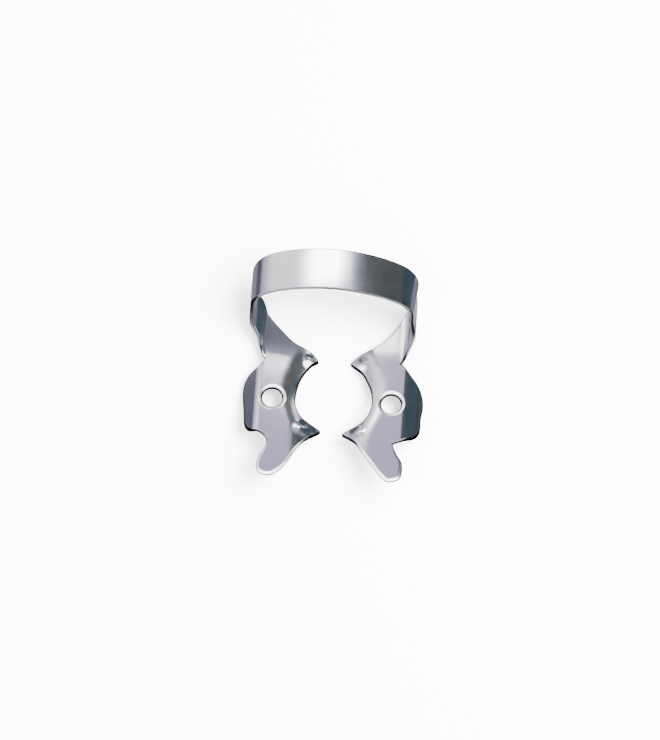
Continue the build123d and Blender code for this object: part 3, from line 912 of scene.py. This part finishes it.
class CLAMP_OT_stage(bpy.types.Operator):
    """Lay the pale floor and set the studio's lights and camera"""

    bl_idname = "clamp.stage"
    bl_label = "Set the Stage"

    def execute(self, context):
        studio = context.scene.clamp_studio
        corners = [(x, y, 0) for x, y in ((-1, -1), (1, -1), (1, 1), (-1, 1))]
        floor = mesh_object("floor", corners, [(0, 1, 2, 3)])
        floor.data.materials.append(floor_material(studio))
        # The steel mirrors the room and not the paper that it was photographed on
        floor.visible_glossy = False
        self.room(context, studio)
        key = self.softbox("key_softbox", KEY_PLACE, (0, 0, 0), KEY_SIZE, KEY_SIZE)
        key.data.energy = studio.key_power
        key.visible_glossy = False

        form = sizes_of(context.scene.clamp_shape)
        jaws = row_frame(form)
        crown_middle = Vector((form.bow_shift, (form.crown_mesial + form.crown_distal) / 2, form.bow_height))
        crown = jaws @ (crown_middle * MM) + CROWN_SHIFT
        for width, reach, share in CROWN_PANELS:
            panel = self.softbox("crown_panel", crown + CROWN_MIRRORS * reach, crown, width, CROWN_PANEL_HEIGHT)
            self.mirrored_only(panel, studio.panel_strength * share)
        place, aim = (jaws @ (Vector(spot) * MM) for spot in (NECK_PANEL_PLACE, NECK_PANEL_AIM))
        self.mirrored_only(self.softbox("neck_panel", place, aim, *NECK_PANEL_SIZE), studio.neck_strength)
        self.camera(context, jaws)
        return {"FINISHED"}

    def room(self, context, studio):
        """A room that is bright in front of the clamp, pale lavender behind it with a soft screen at the left,
        and dark on its right and low down."""
        world = bpy.data.worlds.new("room")
        context.scene.world = world
        world.use_nodes = True
        world.node_tree.nodes.clear()
        shader = Shader("room", world.node_tree)
        place = shader.node("ShaderNodeTexCoord", {}, {}, "Generated")
        x, y, z = shader.parts(place)
        edges = {name: shader.ramp({"x": x, "y": y, "z": z}[axis], *limits) for name, (axis, limits) in ROOM.items()}

        shade = shader.mix(edges["behind"], rgba(studio.front, studio.front_strength),
                           rgba(studio.back, studio.back_strength))
        lit = edges["screen_left"] * (1 - edges["screen_right"]) * edges["screen_near"]
        shade = shader.mix(lit, shade, rgba(studio.screen, studio.screen_strength))
        shade = shader.mix(edges["dark"] * edges["behind"], shade, rgba(studio.dark))
        shade = shader.mix(edges["far_dark"] * edges["behind"], shade, rgba(studio.far_dark))
        unlit = shader.mix(edges["unlit_side"], rgba(studio.dim), rgba(studio.far_dark))
        shade = shader.mix(1 - edges["horizon"], shade, unlit)
        low = shader.mix(edges["low_back"], rgba(studio.ground), rgba(studio.low_back))
        shade = shader.mix(1 - edges["low"], shade, low)
        shade = shader.mix(1 - edges["lowest"], shade, rgba(studio.paper))
        glow = shader.node("ShaderNodeBackground", {}, {"Color": shade, "Strength": 1.0})
        shader.node("ShaderNodeOutputWorld", {}, {"Surface": glow})

    def softbox(self, name, place, aim, width, height):
        """A rectangular light at a place, turned to its aim."""
        light = bpy.data.lights.new(name, "AREA")
        light.shape = "RECTANGLE"
        light.size, light.size_y = width, height
        made = bpy.data.objects.new(name, light)
        made.location = place
        made.rotation_euler = (Vector(aim) - Vector(place)).to_track_quat("-Z", "Y").to_euler()
        bpy.context.scene.collection.objects.link(made)
        return made

    def mirrored_only(self, made, strength):
        """Gives a panel its strength, and lets it show in the steel and nowhere else."""
        made.data.energy = strength * pi * made.data.size * made.data.size_y
        made.visible_camera = False
        made.visible_diffuse = False

    def camera(self, context, jaws):
        """The photograph's view, with the middle of the two holes at its place in the frame."""
        right = Vector((cos(VIEW_SIDE), sin(VIEW_SIDE), 0))
        above = Vector((-sin(VIEW_SIDE) * sin(VIEW_UP), cos(VIEW_SIDE) * sin(VIEW_UP), cos(VIEW_UP)))
        towards = right.cross(above)
        width, height = PHOTO_SIZE
        pixel = PIXEL * MM
        aim = right * (width / 2 - HOLES_MIDDLE[0]) * pixel + above * (HOLES_MIDDLE[1] - height / 2) * pixel
        turn = jaws.to_3x3()
        pose = Matrix([turn @ right, turn @ above, turn @ towards]).transposed().to_4x4()
        pose.translation = jaws @ (aim + towards * CAMERA_REACH)
        data = bpy.data.cameras.new("camera")
        data.sensor_fit = "VERTICAL"
        data.sensor_height = SENSOR_HEIGHT
        data.lens = SENSOR_HEIGHT * CAMERA_REACH / (height * pixel)
        data.clip_start, data.clip_end = CLIP
        made = bpy.data.objects.new("camera", data)
        made.matrix_world = pose
        context.scene.collection.objects.link(made)
        context.scene.camera = made


class CLAMP_PT_sidebar(bpy.types.Panel):
    bl_label = "Rubber Dam Clamp"
    bl_idname = "CLAMP_PT_sidebar"
    bl_space_type = "VIEW_3D"
    bl_region_type = "UI"
    bl_category = "Clamp"

    def draw(self, context):
        for group in (context.scene.clamp_shape, context.scene.clamp_steel, context.scene.clamp_studio):
            box = self.layout.box()
            for key in group.__annotations__:
                box.prop(group, key)
        self.layout.operator(CLAMP_OT_sheet.bl_idname)
        self.layout.operator(CLAMP_OT_stage.bl_idname)


GROUPS = {"clamp_shape": ClampShape, "clamp_steel": SteelLook, "clamp_studio": Studio}
CLASSES = (*GROUPS.values(), CLAMP_OT_sheet, CLAMP_OT_stage, CLAMP_PT_sidebar)


def register():
    for kind in CLASSES:
        bpy.utils.register_class(kind)
    for name, kind in GROUPS.items():
        setattr(bpy.types.Scene, name, PointerProperty(type=kind))


def unregister():
    for name in GROUPS:
        delattr(bpy.types.Scene, name)
    for kind in reversed(CLASSES):
        bpy.utils.unregister_class(kind)


def main():
    register()
    bpy.ops.clamp.stage()
    bpy.ops.clamp.sheet()


if __name__ == "__main__":
    main()
